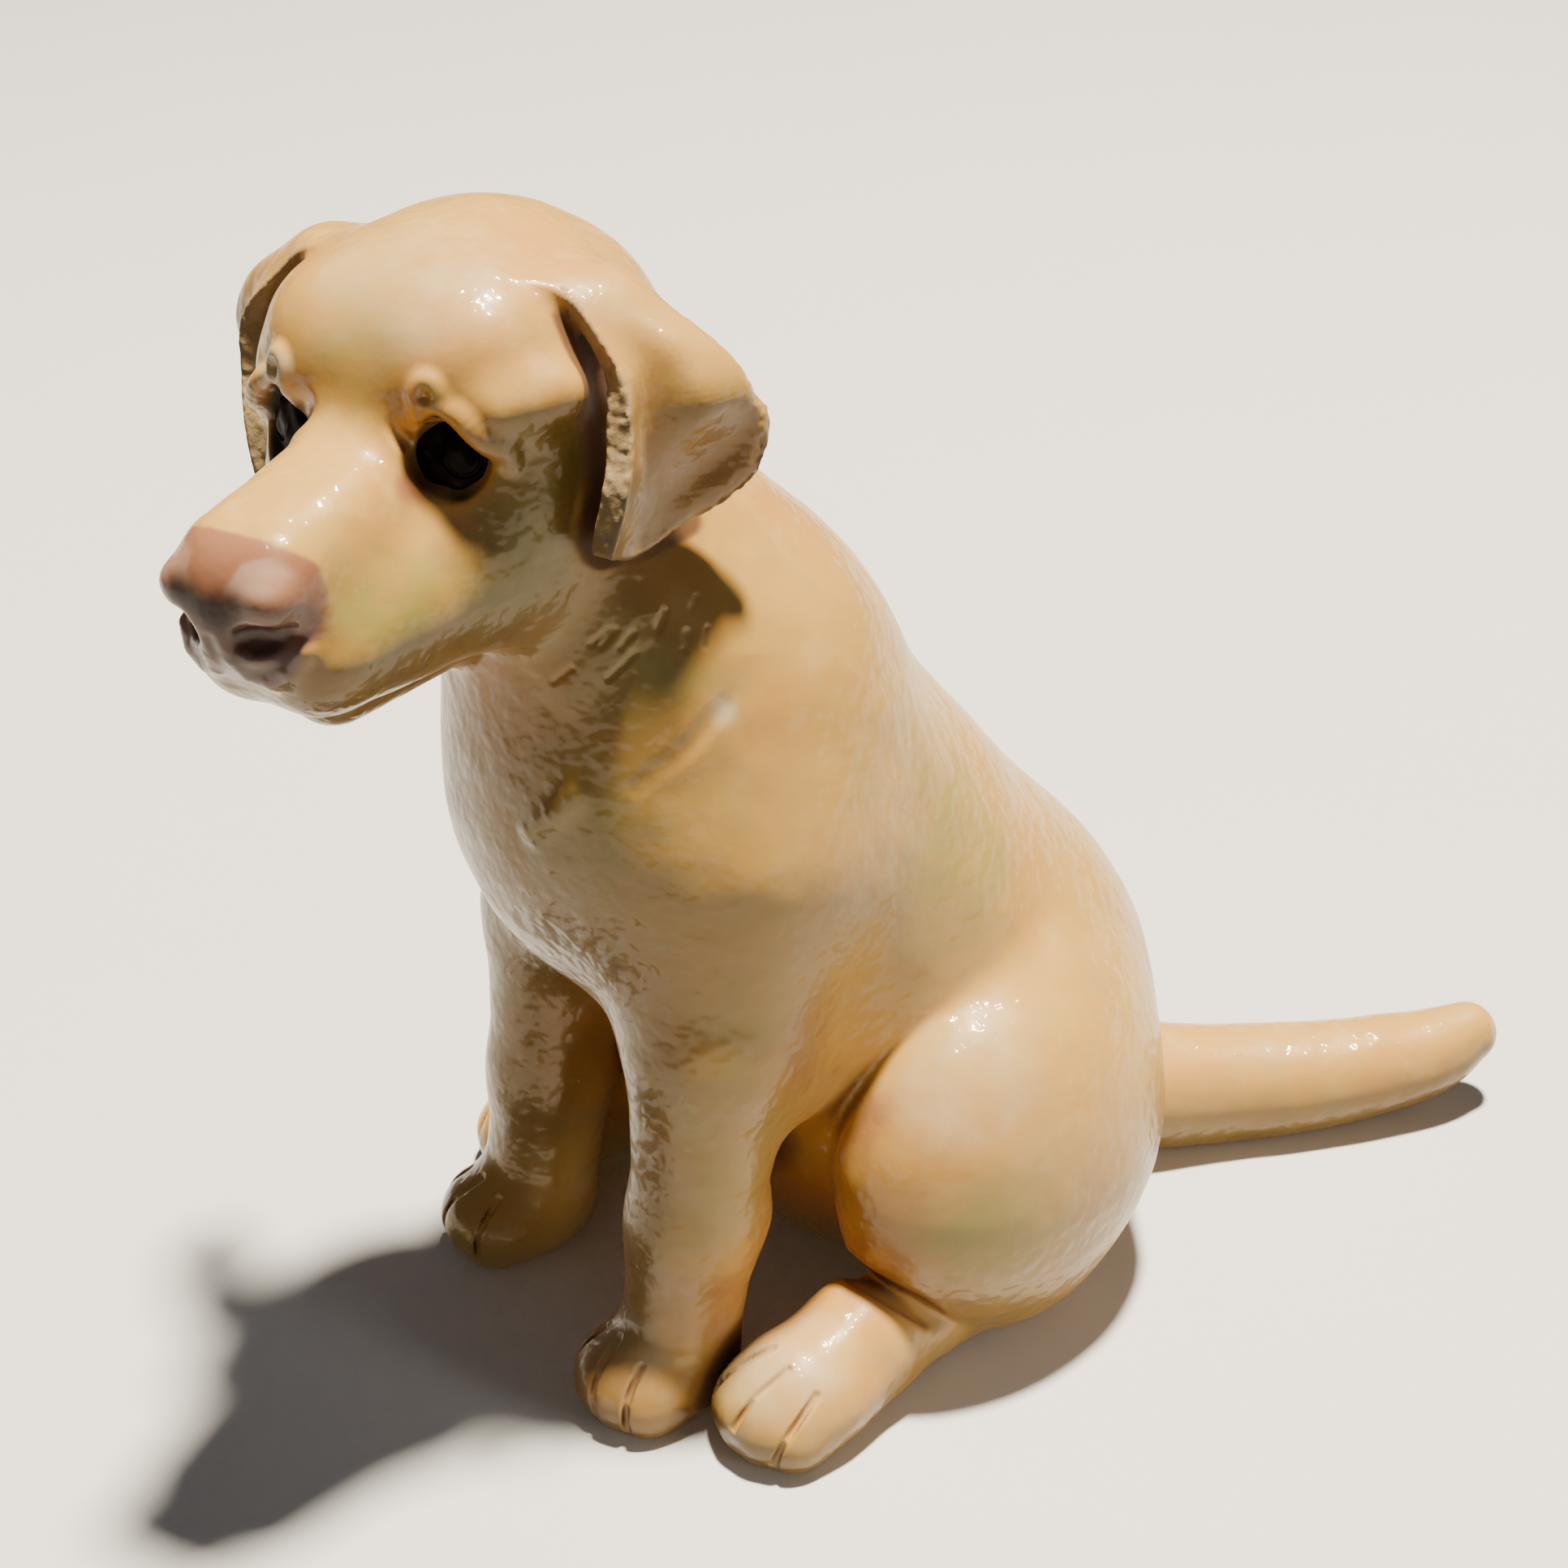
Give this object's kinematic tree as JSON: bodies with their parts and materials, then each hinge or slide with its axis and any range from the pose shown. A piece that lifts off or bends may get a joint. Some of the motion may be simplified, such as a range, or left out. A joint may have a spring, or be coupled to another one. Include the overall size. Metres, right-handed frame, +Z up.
{
  "type": "seated dog figurine",
  "caption": "Hand-built glazed ceramic figurine of a seated puppy with drooping slab ears, head turned to one side and the tail laid out behind on the table.",
  "frame": {"origin": "on the table, under the middle of the figure's footprint", "axes": "+Z up; the body looks along -Y and the tail points along +Y; the dog's own left side is +X"},
  "size_m": [0.0718, 0.1441, 0.1208],
  "materials": {
    "body_glaze": "glossy pale cream-tan glaze that pools olive in hollows and breaks pinkish on edges",
    "ear_glaze": "glossy pale cream-tan glaze with rough sandy cut edges",
    "eye_glaze": "glossy near-black brown glaze",
    "nose_glaze": "glossy pink-brown underglaze, darker between the nostrils",
    "bare_clay": "matt unglazed fired clay"
  },
  "bodies": {
    "root": {"torso": "body_glaze", "base_slab": "bare_clay", "head": "body_glaze", "lower_jaw": "body_glaze", "nose_pad": "nose_glaze", "left_eye": "eye_glaze", "right_eye": "eye_glaze", "left_brow": "body_glaze", "right_brow": "body_glaze", "left_ear": "ear_glaze", "right_ear": "ear_glaze", "left_foreleg": "body_glaze", "right_foreleg": "body_glaze", "left_thigh": "body_glaze", "right_thigh": "body_glaze", "left_hind_foot": "body_glaze", "right_hind_foot": "body_glaze", "tail": "body_glaze"}
  },
  "joints": []
}
